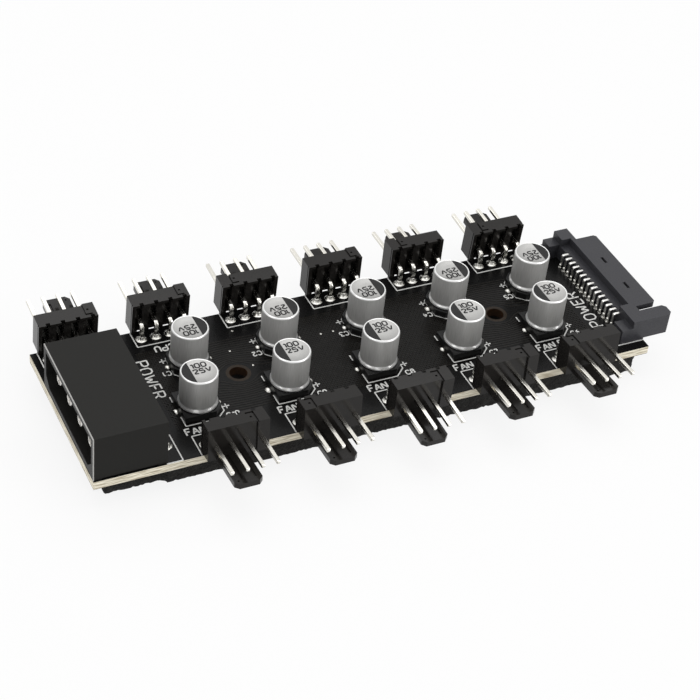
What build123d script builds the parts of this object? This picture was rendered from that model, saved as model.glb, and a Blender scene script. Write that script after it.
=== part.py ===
"""Fan controller hub: a long circuit board on a foam pad, with eleven four-pin fan headers along its two
long edges, ten capacitors between them, a four-pin power header at the left end and a fifteen-contact
power plug at the right end.

The origin is the middle of the foam pad's underside, below the middle of the board. X runs along the
board, Y from the front row of fan headers to the back row, and Z up. All sizes are in millimetres.
"""

import os
from math import sqrt

from build123d import *

os.makedirs("parts", exist_ok=True)

# Foam pad
pad_thickness = 4.0
pad_inset_left = 2.6
pad_inset_right = 1.8
pad_inset_side = 0.9
pad_skew = -0.6
pad_corner_length = 10.0
pad_corner_depth = 0.8
pad_hole_margin = 1.0
tail_pocket_margin = 0.45
tail_pocket_spare = 0.4

# Fan channels along the board
channel_pitch = 16.1
front_channels = 5
back_channels = 6
back_row_start = 2.5
front_row_gap = 6.97
plug_strip = 10.08

# Fan header bodies, seen with the pins pointing away from the board
pin_pitch = 2.54
pins_per_header = 4
pin_side = 0.64
pin_fit = 0.02
pin_height = 3.1
pin_reach = 9.3
pin_foot_inset = 2.2
pin_bend = 0.7
pin_tip_chamfer = 0.18
tail_below_board = 0.8
pin_hole_play = 0.4
body_overhang = 1.27
body_over_board = 0.69
body_depth = 2.93
body_height = 6.05
body_lift = 0.48
end_wall = 1.0
top_plate = 0.5
bottom_plate = 0.5
back_recess = 0.45
cell_width = 1.25
cell_depth = 1.7
notch_width = 0.7
notch_depth = 0.55
notch_offset = 0.38
foot_gap = 1.06
foot_drop = 0.31
foot_depth = 0.6
step_width = 2.0
step_depth = 0.35
top_groove_width = 0.3
top_groove_depth = 0.2
side_groove_inset = 0.4
side_groove_width = 0.2
side_groove_depth = 0.12
tab_width = 4.7
tab_offset = 0.2
tab_length = 7.8
tab_thickness = 0.95
tab_chamfer = 0.7

# Each header leans by its own small angle, pin tips up, and has its step beside pin 1 or beside pin 4.
front_tilts = [3.9, 3.0, -2.1, 2.6, 3.5]
back_tilts = [5.9, 4.8, 4.2, 0.6, 0.0, 4.0]
front_steps_at_pin_1 = [False, True, False, False, True]
back_steps_at_pin_1 = [True, True, False, True, False, False]

# Capacitors
can_diameter = 6.3
can_top = 7.7
can_rim = 0.35
can_crimp_height = 0.85
can_crimp_width = 0.3
can_crimp_depth = 0.12
base_margin = 0.15
base_height = 1.3
base_chamfer = 1.3
base_socket_depth = 0.3
base_fit = 0.03
lead_width = 0.65
lead_thickness = 0.2
lead_length = 1.9
lead_exposed = 0.35
lead_fit = 0.02
capacitor_from_front_pin = 2.15
capacitor_from_back_pin = 5.25
capacitor_row_gap = 10.7
capacitor_row_shift = 0.25

# Power header at the left end
power_pin_count = 4
power_pin_pitch = 5.08
power_pin_diameter = 2.1
power_pin_bore = 1.3
power_pin_bore_depth = 5.0
power_pin_rounding = 0.2
power_pin_height = 4.2
power_pin_recess = 1.0
power_tail_diameter = 1.4
power_tail_bend = 0.9
power_tail_from_back = 1.5
power_tail_play = 0.3
power_fit = 0.05
power_header_depth = 12.13
power_header_top = 8.55
power_header_lift = 0.2
power_header_inset = 0.23
power_end_margin = 4.33
power_wall = 1.0
power_back_wall = 2.8
power_mouth_chamfer = 1.6
power_foot = 1.5
power_to_back_pins = 5.67

# Power plug at the right end
plug_width = 27.95
plug_height = 4.3
plug_bar_depth = 2.7
plug_overhang = 0.1
plug_channel_depth = 1.5
plug_rail = 0.9
plug_front_cap = 4.95
plug_back_cap = 2.9
block_depth = 2.1
block_height = 2.9
front_block_width = 2.85
back_block_width = 2.4
tongue_reach = 4.05
tongue_thickness = 1.1
tongue_front_inset = 3.95
tongue_back_inset = 3.4
tongue_chamfer = 0.4
tongue_slot_width = 0.5
tongue_slot_length = 1.7
tongue_slot_out = 1.6
tongue_slot_places = [-4.25, 3.4]
arm_reach = 5.15
arm_width = 2.75
arm_lift = 0.3
arm_chamfer = 0.6
contact_count = 15
contact_pitch = 1.27
contact_width = 0.5
contact_thickness = 0.25
contact_fit = 0.02
contact_below_floor = 0.28
contact_bend = 0.2
contact_row_gap = 0.75
contact_rise_inset = 0.6
contact_end_gap = 0.55
contact_notch_width = 0.7
contact_notch_depth = 0.5
contact_notch_drop = 0.35

# Solder joints on the board's top face
joint_radius = 0.95
joint_top_wall = 0.12
joint_height = 0.45
joint_play = 0.15
contact_joint_length = 1.1
contact_joint_height = 0.3

# Circuit board
board_thickness = 1.6
mount_hole_diameter = 3.0
mount_hole_spacing = 48.5
mount_hole_shift = 4.6
mount_hole_row_shift = 0.55

# Sizes worked out from the ones above
header_span = (pins_per_header - 1) * pin_pitch
body_length = header_span + 2 * body_overhang
front_row_start = power_header_depth + front_row_gap
power_header_length = (power_pin_count - 1) * power_pin_pitch + 2 * power_end_margin
board_length = back_row_start + (back_channels - 1) * channel_pitch + header_span + plug_strip
board_width = power_header_inset + power_header_length + power_to_back_pins + pin_foot_inset
board_under = pad_thickness
board_top = pad_thickness + board_thickness
left = -board_length / 2
right = board_length / 2
front = -board_width / 2
back = board_width / 2
pin_hole_diameter = pin_side * sqrt(2) + pin_hole_play
power_hole_diameter = power_tail_diameter + power_tail_play
base_side = can_diameter + 2 * base_margin
front_pins_x = [left + front_row_start + i * channel_pitch for i in range(front_channels)]
back_pins_x = [left + back_row_start + i * channel_pitch for i in range(back_channels)]
front_header_x = [x + header_span / 2 for x in front_pins_x]
back_header_x = [x + header_span / 2 for x in back_pins_x]
front_foot_y = front + pin_foot_inset
back_foot_y = back - pin_foot_inset
capacitor_front_y = capacitor_row_shift - capacitor_row_gap / 2
capacitor_back_y = capacitor_row_shift + capacitor_row_gap / 2
front_capacitors = [(x + capacitor_from_front_pin, capacitor_front_y) for x in front_pins_x]
back_capacitors = [(x + capacitor_from_back_pin, capacitor_back_y) for x in back_pins_x[1:]]
power_header_y = front + power_header_inset + power_header_length / 2
power_tail_x = left + power_header_depth - power_tail_from_back
plug_outer = right + plug_overhang
plug_inner = plug_outer - plug_bar_depth
plug_front = -plug_width / 2
plug_back = plug_width / 2
plug_floor = plug_height - plug_channel_depth
tongue_under = plug_height - tongue_thickness
contact_height = plug_floor - contact_below_floor

up_from_board = (Align.CENTER, Align.CENTER, Align.MIN)
from_low_corner = (Align.MIN, Align.MIN, Align.MIN)

# Circuit board: glass-fibre laminate, drilled for the two mounting screws and for every pin tail.
with BuildPart() as circuit_board:
    with BuildSketch(Plane.XY.offset(board_under)):
        Rectangle(board_length, board_width)
        with Locations((mount_hole_shift, mount_hole_row_shift)):
            with GridLocations(mount_hole_spacing, 0, 2, 1):
                Circle(mount_hole_diameter / 2, mode=Mode.SUBTRACT)
        for x in front_header_x:
            with Locations((x, front_foot_y)):
                with GridLocations(pin_pitch, 0, pins_per_header, 1):
                    Circle(pin_hole_diameter / 2, mode=Mode.SUBTRACT)
        for x in back_header_x:
            with Locations((x, back_foot_y)):
                with GridLocations(pin_pitch, 0, pins_per_header, 1):
                    Circle(pin_hole_diameter / 2, mode=Mode.SUBTRACT)
        with Locations((power_tail_x, power_header_y)):
            with GridLocations(0, power_pin_pitch, 1, power_pin_count):
                Circle(power_hole_diameter / 2, mode=Mode.SUBTRACT)
    extrude(amount=board_thickness)
circuit_board.part.label = "circuit_board"
export_step(circuit_board.part, "parts/circuit_board.step")

# Foam pad: a soft slab glued under the board a little askew, one front corner trimmed back, with holes
# below the mounting holes and pockets that clear the soldered pin tails.
pad_length = board_length - pad_inset_left - pad_inset_right
pad_width = board_width - 2 * pad_inset_side
pad_centre_x = (pad_inset_left - pad_inset_right) / 2
pocket_depth = tail_below_board + tail_pocket_spare
pocket_width = pin_side + 2 * tail_pocket_margin
pocket_length = header_span + pocket_width
power_pocket_width = power_tail_diameter + 2 * tail_pocket_margin
with BuildPart() as foam_pad:
    with BuildSketch():
        with Locations(Location((pad_centre_x, 0), pad_skew)):
            Rectangle(pad_length, pad_width)
            with Locations((-pad_length / 2, -pad_width / 2)):
                Rectangle(
                    pad_corner_length,
                    pad_corner_depth,
                    align=(Align.MIN, Align.MIN),
                    mode=Mode.SUBTRACT,
                )
        with Locations((mount_hole_shift, mount_hole_row_shift)):
            with GridLocations(mount_hole_spacing, 0, 2, 1):
                Circle(mount_hole_diameter / 2 + pad_hole_margin, mode=Mode.SUBTRACT)
    extrude(amount=pad_thickness)
    with BuildSketch(Plane.XY.offset(board_under)):
        with Locations(*[(x, front_foot_y) for x in front_header_x]):
            Rectangle(pocket_length, pocket_width)
        with Locations(*[(x, back_foot_y) for x in back_header_x]):
            Rectangle(pocket_length, pocket_width)
        with Locations((power_tail_x, power_header_y)):
            with GridLocations(0, power_pin_pitch, 1, power_pin_count):
                Rectangle(power_pocket_width, power_pocket_width)
    extrude(amount=-pocket_depth, mode=Mode.SUBTRACT)
foam_pad.part.label = "foam_pad"
export_step(foam_pad.part, "parts/foam_pad.step")


def header_seat(x, edge_y, x_direction, tilt):
    """The plane a fan header is built on: its origin lies on the board's top edge in the middle of the
    pins, its Y axis points away from the board, and its pin tips lean up by the header's own angle. The
    turn is about the model's X axis, so it has opposite signs in the two rows."""
    flat = Plane(origin=(x, edge_y, board_top), x_dir=(x_direction, 0, 0), z_dir=(0, 0, 1))
    return flat.rotated((x_direction * tilt, 0, 0))


header_seats = [header_seat(x, front, -1, tilt) for x, tilt in zip(front_header_x, front_tilts)]
header_seats += [header_seat(x, back, 1, tilt) for x, tilt in zip(back_header_x, back_tilts)]
steps_at_pin_1 = front_steps_at_pin_1 + back_steps_at_pin_1

# Fan header bodies: black moulded blocks that lie over the board's edge. The back is recessed under a
# thin top plate, with a cell and a notch for each pin and small feet between the pins. The front carries
# the locking tab under pins 1 to 3 and a small step at one end. Pin 1 is on the seat's +X side.
body_back = -body_over_board
body_top = body_lift + body_height
recess_height = body_height - top_plate
cell_height = recess_height - bottom_plate
inner_length = body_length - 2 * end_wall
tab_right = header_span / 2 - tab_offset
feet_bottom = body_lift - foot_drop
for number, (seat, step_at_pin_1) in enumerate(zip(header_seats, steps_at_pin_1), start=1):
    step_side = 1 if step_at_pin_1 else -1
    step_edge = step_side * (body_length / 2 - step_width)
    step_middle = step_side * (body_length - step_width) / 2
    with BuildPart(seat) as fan_header:
        with Locations((0, body_back, body_lift)):
            Box(body_length, body_depth, body_height, align=(Align.CENTER, Align.MIN, Align.MIN))
            Box(
                inner_length,
                back_recess,
                recess_height,
                align=(Align.CENTER, Align.MIN, Align.MIN),
                mode=Mode.SUBTRACT,
            )
        with Locations((0, body_back, body_lift + bottom_plate)):
            with GridLocations(pin_pitch, 0, pins_per_header, 1):
                Box(
                    cell_width,
                    cell_depth,
                    cell_height,
                    align=(Align.CENTER, Align.MIN, Align.MIN),
                    mode=Mode.SUBTRACT,
                )
        with Locations((notch_offset, body_back, body_top)):
            with GridLocations(pin_pitch, 0, pins_per_header, 1):
                Box(
                    notch_width,
                    notch_depth,
                    2 * top_plate,
                    align=(Align.CENTER, Align.MIN, Align.CENTER),
                    mode=Mode.SUBTRACT,
                )
        with Locations((0, body_back + back_recess, feet_bottom)):
            Box(
                inner_length,
                foot_depth,
                foot_drop,
                align=(Align.CENTER, Align.MIN, Align.MIN),
            )
        with Locations((0, body_back, feet_bottom)):
            with Locations((-body_length / 2, 0)):
                Box(end_wall, foot_depth, foot_drop, align=from_low_corner)
            with Locations((body_length / 2 - end_wall, 0)):
                Box(end_wall, foot_depth, foot_drop, align=from_low_corner)
            with GridLocations(pin_pitch, 0, pins_per_header, 1):
                Box(
                    foot_gap,
                    2 * body_depth,
                    foot_drop,
                    align=(Align.CENTER, Align.CENTER, Align.MIN),
                    mode=Mode.SUBTRACT,
                )
        with Locations((step_middle, body_back + body_depth, body_lift)):
            Box(step_width, step_depth, body_height, align=(Align.CENTER, Align.MIN, Align.MIN))
        with Locations((step_edge, body_back + body_depth + step_depth, body_top)):
            Box(
                top_groove_width,
                body_depth - cell_depth + step_depth,
                2 * top_groove_depth,
                align=(Align.CENTER, Align.MAX, Align.CENTER),
                mode=Mode.SUBTRACT,
            )
        for side in (-1, 1):
            with Locations((side * body_length / 2, body_back + side_groove_inset, body_lift)):
                Box(
                    2 * side_groove_depth,
                    side_groove_width,
                    2 * body_height,
                    mode=Mode.SUBTRACT,
                )
        with BuildSketch(seat.offset(body_lift)):
            with Locations((tab_right, body_back + body_depth)):
                Rectangle(tab_width, tab_length, align=(Align.MAX, Align.MIN))
        extrude(amount=tab_thickness)
        outward = Axis(seat.origin, seat.y_dir)
        upward = Axis(seat.origin, seat.z_dir)
        tab_corners = fan_header.edges().filter_by(upward).group_by(outward)[-1]
        chamfer(tab_corners, tab_chamfer)
        with Locations((0, body_back + body_depth / 2, pin_height)):
            with GridLocations(pin_pitch, 0, pins_per_header, 1):
                Box(
                    pin_side + 2 * pin_fit,
                    2 * body_depth,
                    pin_side + 2 * pin_fit,
                    mode=Mode.SUBTRACT,
                )
    fan_header.part.label = f"fan_header_{number}"
    export_step(fan_header.part, f"parts/fan_header_{number}.step")

# Fan header pins: square wire, straight out through the body and bent down into the board.
for number, seat in enumerate(header_seats, start=1):
    side_plane = Plane(origin=seat.origin, x_dir=seat.y_dir, z_dir=seat.x_dir)
    with BuildPart() as fan_pins:
        for i in range(pins_per_header):
            with BuildSketch(side_plane.offset(i * pin_pitch - header_span / 2)):
                with BuildLine():
                    FilletPolyline(
                        (pin_reach, pin_height),
                        (-pin_foot_inset, pin_height),
                        (-pin_foot_inset, -board_thickness - tail_below_board),
                        radius=pin_bend,
                    )
                trace(line_width=pin_side)
            extrude(amount=pin_side / 2, both=True)
        outward = Axis(seat.origin, seat.y_dir)
        tips = fan_pins.faces().sort_by(outward)[-pins_per_header:]
        chamfer(tips.edges(), pin_tip_chamfer)
    fan_pins.part.label = f"fan_pins_{number}"
    export_step(fan_pins.part, f"parts/fan_pins_{number}.step")

# Capacitor bases: square black plates with two corners cut off, a shallow round socket for the can and
# two grooves underneath for the leads.
base_corner = base_side / 2
lead_centre = base_corner + lead_exposed - lead_length / 2
capacitors = [(x, y, 1) for x, y in front_capacitors] + [(x, y, -1) for x, y in back_capacitors]
for number, (x, y, cut_side) in enumerate(capacitors, start=1):
    with BuildPart(Plane((x, y, board_top))) as capacitor_base:
        Box(base_side, base_side, base_height, align=up_from_board)
        cut_edges = capacitor_base.edges().filter_by(Axis.Z).sort_by(Axis.X, reverse=cut_side > 0)[:2]
        chamfer(cut_edges, base_chamfer)
        with Locations((0, 0, base_height - base_socket_depth)):
            Cylinder(
                can_diameter / 2 + base_fit,
                2 * base_socket_depth,
                align=up_from_board,
                mode=Mode.SUBTRACT,
            )
        with Locations((-lead_centre, 0), (lead_centre, 0)):
            Box(
                lead_length + 2 * lead_exposed,
                lead_width + 2 * lead_fit,
                2 * (lead_thickness + lead_fit),
                mode=Mode.SUBTRACT,
            )
    capacitor_base.part.label = f"capacitor_base_{number}"
    export_step(capacitor_base.part, f"parts/capacitor_base_{number}.step")

# Capacitor cans: drawn aluminium cups with a bevelled rim and a crimp just above the base.
can_radius = can_diameter / 2
can_bottom = base_height - base_socket_depth
for number, (x, y, cut_side) in enumerate(capacitors, start=1):
    with BuildPart() as capacitor_can:
        with BuildSketch(Plane((x, y, board_top), x_dir=(1, 0, 0), z_dir=(0, -1, 0))):
            with BuildLine():
                Polyline(
                    (0, can_bottom),
                    (can_radius, can_bottom),
                    (can_radius, base_height + can_crimp_height - can_crimp_width),
                    (can_radius - can_crimp_depth, base_height + can_crimp_height),
                    (can_radius, base_height + can_crimp_height + can_crimp_width),
                    (can_radius, can_top - can_rim),
                    (can_radius - can_rim, can_top),
                    (0, can_top),
                    close=True,
                )
            make_face()
        revolve(axis=Axis((x, y, board_top), (0, 0, 1)))
    capacitor_can.part.label = f"capacitor_can_{number}"
    export_step(capacitor_can.part, f"parts/capacitor_can_{number}.step")

# Capacitor leads: two flat tabs under each base, soldered to the board.
with BuildPart() as capacitor_leads:
    for x, y, cut_side in capacitors:
        with Locations((x - lead_centre, y, board_top), (x + lead_centre, y, board_top)):
            Box(lead_length, lead_width, lead_thickness, align=up_from_board)
capacitor_leads.part.label = "capacitor_leads"
export_step(capacitor_leads.part, "parts/capacitor_leads.step")

# Power header: a black box lying on the board on four small feet, open to the left. Two lower corners of
# its mouth are cut off so that the plug fits one way round. The pins come through its thick back wall.
mouth_floor = power_header_lift + power_wall
mouth_height = power_header_top - power_wall - mouth_floor
mouth_width = power_header_length - 2 * power_wall
mouth_depth = power_header_depth - power_back_wall
tail_reach = power_header_depth - power_tail_from_back
power_seat = Plane((left, power_header_y, board_top))
power_section = Plane((left, power_header_y, board_top), x_dir=(1, 0, 0), z_dir=(0, -1, 0))
power_pin_offsets = [(i - (power_pin_count - 1) / 2) * power_pin_pitch for i in range(power_pin_count)]


def power_wire(wire_diameter, wire_start, offset, mode):
    """A round wire from the back of the mouth through the back wall and down through the board."""
    with BuildLine(power_section.offset(offset)) as wire_path:
        FilletPolyline(
            (wire_start, power_pin_height),
            (tail_reach, power_pin_height),
            (tail_reach, -board_thickness - tail_below_board),
            radius=power_tail_bend,
        )
    with BuildSketch(Plane(origin=wire_path.line @ 0, z_dir=wire_path.line % 0)) as wire_end:
        Circle(wire_diameter / 2)
    sweep(sections=wire_end.sketch, path=wire_path.line, mode=mode)


with BuildPart(power_seat) as power_header:
    with Locations((0, 0, power_header_lift)):
        Box(
            power_header_depth,
            power_header_length,
            power_header_top - power_header_lift,
            align=(Align.MIN, Align.CENTER, Align.MIN),
        )
    with Locations((power_header_depth / 2, 0, 0)):
        with GridLocations(power_header_depth - power_foot, power_header_length - power_foot, 2, 2):
            Box(power_foot, power_foot, power_header_lift, align=up_from_board)
    with BuildSketch(Plane(power_seat.origin, x_dir=(0, -1, 0), z_dir=(-1, 0, 0))) as mouth:
        with Locations((0, mouth_floor)):
            Rectangle(mouth_width, mouth_height, align=(Align.CENTER, Align.MIN))
        chamfer(mouth.vertices().sort_by(Axis.Z)[:2], power_mouth_chamfer)
    extrude(amount=-mouth_depth, mode=Mode.SUBTRACT)
    for offset in power_pin_offsets:
        power_wire(power_tail_diameter + 2 * power_fit, mouth_depth, offset, Mode.SUBTRACT)
power_header.part.label = "power_header"
export_step(power_header.part, "parts/power_header.step")

# Power header pins: four round hollow contacts, set back a little from the mouth, on round tails that
# turn down inside the back wall.
with BuildPart(power_seat) as power_header_pins:
    for offset in power_pin_offsets:
        with Locations(Location((power_pin_recess, offset, power_pin_height), (0, 90, 0))):
            Cylinder(power_pin_diameter / 2, mouth_depth - power_pin_recess, align=up_from_board)
        power_wire(power_tail_diameter, mouth_depth, offset, Mode.ADD)
    mouths = power_header_pins.faces().filter_by(Axis.X).group_by(Axis.X)[0].edges()
    fillet(mouths, power_pin_rounding)
    for offset in power_pin_offsets:
        with Locations(Location((power_pin_recess, offset, power_pin_height), (0, 90, 0))):
            Cylinder(power_pin_bore / 2, power_pin_bore_depth, align=up_from_board, mode=Mode.SUBTRACT)
power_header_pins.part.label = "power_header_pins"
export_step(power_header_pins.part, "parts/power_header_pins.step")

# Power plug: a bar along the board's right edge with a channel in its top, a block at each end, a flat
# tongue that carries the contacts, and a key arm beside the tongue at the front.
plug_seat = Plane((plug_inner, 0, board_top))
plug_section = Plane(plug_seat.origin, x_dir=(1, 0, 0), z_dir=(0, -1, 0))
channel_width = plug_width - plug_front_cap - plug_back_cap
tongue_width = plug_width - tongue_front_inset - tongue_back_inset
contact_offsets = [(i - (contact_count - 1) / 2) * contact_pitch for i in range(contact_count)]
contact_rise = plug_bar_depth - contact_rise_inset
contact_tip = plug_bar_depth + tongue_reach - contact_end_gap
contact_low = contact_height - contact_thickness / 2
with BuildPart(plug_seat) as power_plug:
    Box(plug_bar_depth, plug_width, plug_height, align=(Align.MIN, Align.CENTER, Align.MIN))
    with Locations((0, plug_front + plug_front_cap, plug_floor)):
        Box(
            plug_bar_depth - plug_rail,
            channel_width,
            plug_channel_depth,
            align=from_low_corner,
            mode=Mode.SUBTRACT,
        )
    with Locations((-block_depth, plug_front, 0)):
        Box(block_depth, front_block_width, block_height, align=from_low_corner)
    with Locations((-block_depth, plug_back - back_block_width, 0)):
        Box(block_depth, back_block_width, block_height, align=from_low_corner)
    with BuildSketch(plug_seat.offset(tongue_under)) as tongue:
        with Locations((plug_bar_depth, plug_front + tongue_front_inset)):
            Rectangle(tongue_reach, tongue_width, align=(Align.MIN, Align.MIN))
        chamfer(tongue.vertices().sort_by(Axis.X)[-2:], tongue_chamfer)
        with Locations(*[(plug_bar_depth + tongue_slot_out, place) for place in tongue_slot_places]):
            Rectangle(tongue_slot_width, tongue_slot_length, mode=Mode.SUBTRACT)
    extrude(amount=tongue_thickness)
    with BuildSketch(plug_seat.offset(arm_lift)) as arm:
        with Locations((plug_bar_depth, plug_front)):
            Rectangle(arm_reach, arm_width, align=(Align.MIN, Align.MIN))
        chamfer(arm.vertices().sort_by(Axis.X)[-2:], arm_chamfer)
    extrude(amount=plug_height - arm_lift)
    with GridLocations(0, contact_pitch, 1, contact_count):
        with Locations((0, 0, plug_floor)):
            Box(
                2 * contact_notch_depth,
                contact_notch_width,
                2 * contact_notch_drop,
                mode=Mode.SUBTRACT,
            )
        with Locations((0, 0, contact_height)):
            Box(
                contact_rise,
                contact_width + 2 * contact_fit,
                contact_thickness + 2 * contact_fit,
                align=(Align.MIN, Align.CENTER, Align.CENTER),
                mode=Mode.SUBTRACT,
            )
        with Locations((contact_rise - contact_thickness / 2 - contact_fit, 0, contact_low - contact_fit)):
            Box(
                2 * contact_rise_inset,
                contact_width + 2 * contact_fit,
                tongue_under - contact_low + contact_fit,
                align=(Align.MIN, Align.CENTER, Align.MIN),
                mode=Mode.SUBTRACT,
            )
power_plug.part.label = "power_plug"
export_step(power_plug.part, "parts/power_plug.step")

# Power plug contacts: flat strips that stand on the board, turn into the bar, step up inside it and lie
# along the underside of the tongue.
with BuildPart() as power_plug_contacts:
    for offset in contact_offsets:
        with BuildSketch(plug_section.offset(offset)):
            with BuildLine():
                FilletPolyline(
                    (-contact_row_gap, 0),
                    (-contact_row_gap, contact_height),
                    (contact_rise, contact_height),
                    radius=contact_bend,
                )
            trace(line_width=contact_thickness)
            with Locations((contact_rise - contact_thickness / 2, contact_low)):
                Rectangle(contact_thickness, tongue_under - contact_low, align=(Align.MIN, Align.MIN))
            with Locations((contact_rise - contact_thickness / 2, tongue_under)):
                Rectangle(
                    contact_tip - contact_rise,
                    contact_thickness,
                    align=(Align.MIN, Align.MAX),
                )
        extrude(amount=contact_width / 2, both=True)
power_plug_contacts.part.label = "power_plug_contacts"
export_step(power_plug_contacts.part, "parts/power_plug_contacts.step")

# Solder joints: a cone around each fan header pin and a small wedge behind each plug contact.
joint_bore = pin_side * sqrt(2) / 2 + joint_play
with BuildPart() as solder_joints:
    for foot_y, header_places in ((front_foot_y, front_header_x), (back_foot_y, back_header_x)):
        for x in header_places:
            with Locations((x, foot_y, board_top)):
                with GridLocations(pin_pitch, 0, pins_per_header, 1):
                    Cone(joint_radius, joint_bore + joint_top_wall, joint_height, align=up_from_board)
                    Cylinder(joint_bore, 3 * joint_height, mode=Mode.SUBTRACT)
    for offset in contact_offsets:
        with BuildSketch(plug_section.offset(offset)):
            with BuildLine():
                foot_face = -contact_row_gap - contact_thickness / 2
                Polyline(
                    (foot_face, 0),
                    (foot_face, contact_joint_height),
                    (foot_face - contact_joint_length, 0),
                    close=True,
                )
            make_face()
        extrude(amount=contact_width / 2, both=True)
solder_joints.part.label = "solder_joints"
export_step(solder_joints.part, "parts/solder_joints.step")
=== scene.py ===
"""Looks of the fan controller hub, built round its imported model: a black circuit board on a foam pad, with
eleven fan headers, ten capacitors, a power header at the left end and a power plug at the right end."""

import math

import bmesh
import bpy
from mathutils import Matrix, Vector, noise


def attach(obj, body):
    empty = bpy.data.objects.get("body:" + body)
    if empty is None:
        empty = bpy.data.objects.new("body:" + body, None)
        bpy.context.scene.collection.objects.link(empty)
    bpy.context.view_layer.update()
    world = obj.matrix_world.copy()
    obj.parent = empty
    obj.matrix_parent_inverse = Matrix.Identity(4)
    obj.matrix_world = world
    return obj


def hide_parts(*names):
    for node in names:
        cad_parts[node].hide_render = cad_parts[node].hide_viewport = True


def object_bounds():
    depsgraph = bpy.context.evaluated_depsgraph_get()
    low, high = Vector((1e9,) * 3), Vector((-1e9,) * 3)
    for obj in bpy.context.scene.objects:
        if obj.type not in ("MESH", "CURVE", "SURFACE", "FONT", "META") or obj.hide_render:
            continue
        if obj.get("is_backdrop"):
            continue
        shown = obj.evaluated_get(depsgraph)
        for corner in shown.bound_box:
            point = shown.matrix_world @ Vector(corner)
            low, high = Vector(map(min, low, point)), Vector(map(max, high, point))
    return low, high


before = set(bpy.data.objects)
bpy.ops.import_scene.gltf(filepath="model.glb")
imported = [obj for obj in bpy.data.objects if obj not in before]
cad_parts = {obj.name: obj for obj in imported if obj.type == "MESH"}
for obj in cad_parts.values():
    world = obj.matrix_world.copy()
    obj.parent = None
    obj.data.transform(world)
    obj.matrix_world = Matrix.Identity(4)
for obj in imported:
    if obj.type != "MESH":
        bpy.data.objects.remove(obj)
cad_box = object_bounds()

# Camera: stands over the hub's front left corner with a long lens, and leans a few degrees to one side as
# the photograph does.
mm = 0.001
camera_place = Vector((-117.03, -209.07, 203.33)) * mm
camera_aim = Vector((0.378, 0.6725, -0.6363)).normalized()
camera_side = camera_aim.cross(Vector((0.2075, 0.6083, 0.7661))).normalized()
camera_up = camera_side.cross(camera_aim)
lens = bpy.data.cameras.new("camera")
lens.lens = 94.72
lens.sensor_width = 36
lens.clip_start = 0.01
camera = bpy.data.objects.new("camera", lens)
turn = Matrix((camera_side, camera_up, -camera_aim)).transposed().to_4x4()
camera.matrix_world = Matrix.Translation(camera_place) @ turn
bpy.context.scene.collection.objects.link(camera)
bpy.context.scene.camera = camera
bpy.context.scene.view_settings.view_transform = "Standard"


# Studio: a white sweep that is plain white to the camera and in reflections, with a broad soft light
# overhead, one at the front right and a weaker one at the left.
def add_node(tree, kind, inputs=None, **settings):
    """A node with its settings, and each named or numbered input set to a value or linked to a socket."""
    node = tree.nodes.new(kind)
    for name, value in settings.items():
        setattr(node, name, value)
    for socket, value in (inputs or {}).items():
        if isinstance(value, bpy.types.NodeSocket):
            tree.links.new(value, node.inputs[socket])
        else:
            node.inputs[socket].default_value = value
    return node


def maths(tree, operation, *values):
    """The result of a math node on values and sockets."""
    return add_node(tree, "ShaderNodeMath", dict(enumerate(values)), operation=operation).outputs[0]


def seen_directly(tree):
    """1 for the rays that come from the camera, from a reflection or through glass, and 0 for the rest."""
    rays = add_node(tree, "ShaderNodeLightPath").outputs
    first = maths(tree, "MAXIMUM", rays["Is Camera Ray"], rays["Is Glossy Ray"])
    return maths(tree, "MAXIMUM", first, rays["Is Transmission Ray"])


world = bpy.data.worlds.new("studio")
bpy.context.scene.world = world
world.use_nodes = True
sky = world.node_tree
sky.nodes.clear()
room_light = add_node(sky, "ShaderNodeBackground", {"Color": (1, 1, 1, 1), "Strength": 0.55})
backdrop = add_node(sky, "ShaderNodeBackground", {"Color": (1, 1, 1, 1), "Strength": 1.0})
sky_mix = add_node(
    sky,
    "ShaderNodeMixShader",
    {0: seen_directly(sky), 1: room_light.outputs[0], 2: backdrop.outputs[0]},
)
add_node(sky, "ShaderNodeOutputWorld", {0: sky_mix.outputs[0]})

floor_paint = bpy.data.materials.new("floor_paint")
floor_paint.use_nodes = True
paint = floor_paint.node_tree
paint.nodes.clear()
floor_whiteness = 0.86
lit_floor = add_node(paint, "ShaderNodeBsdfDiffuse", {"Color": (0.86, 0.86, 0.86, 1)})
white_floor = add_node(paint, "ShaderNodeEmission", {"Color": (1, 1, 1, 1), "Strength": 1.0})
floor_share = maths(paint, "MULTIPLY", seen_directly(paint), floor_whiteness)
floor_mix = add_node(
    paint,
    "ShaderNodeMixShader",
    {0: floor_share, 1: lit_floor.outputs[0], 2: white_floor.outputs[0]},
)
add_node(paint, "ShaderNodeOutputMaterial", {0: floor_mix.outputs[0]})
floor_reach = 1.5
floor_mesh = bpy.data.meshes.new("floor")
floor_corners = [(x * floor_reach, y * floor_reach, 0) for x, y in ((-1, -1), (1, -1), (1, 1), (-1, 1))]
floor_mesh.from_pydata(floor_corners, [], [(0, 1, 2, 3)])
floor_mesh.materials.append(floor_paint)
floor = bpy.data.objects.new("floor", floor_mesh)
bpy.context.scene.collection.objects.link(floor)
floor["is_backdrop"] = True

for name, place, size, power in (
    ("overhead_softbox", (0.05, 0.12, 0.45), 0.5, 1.1),
    ("left_softbox", (-0.42, -0.05, 0.22), 0.3, 0.4),
    ("front_softbox", (0.32, -0.42, 0.2), 0.35, 1.1),
):
    lamp = bpy.data.lights.new(name, "AREA")
    lamp.size = size
    lamp.energy = power
    lamp_object = bpy.data.objects.new(name, lamp)
    lamp_object.location = place
    lamp_object.rotation_euler = (-Vector(place)).to_track_quat("-Z", "Y").to_euler()
    bpy.context.scene.collection.objects.link(lamp_object)


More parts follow.
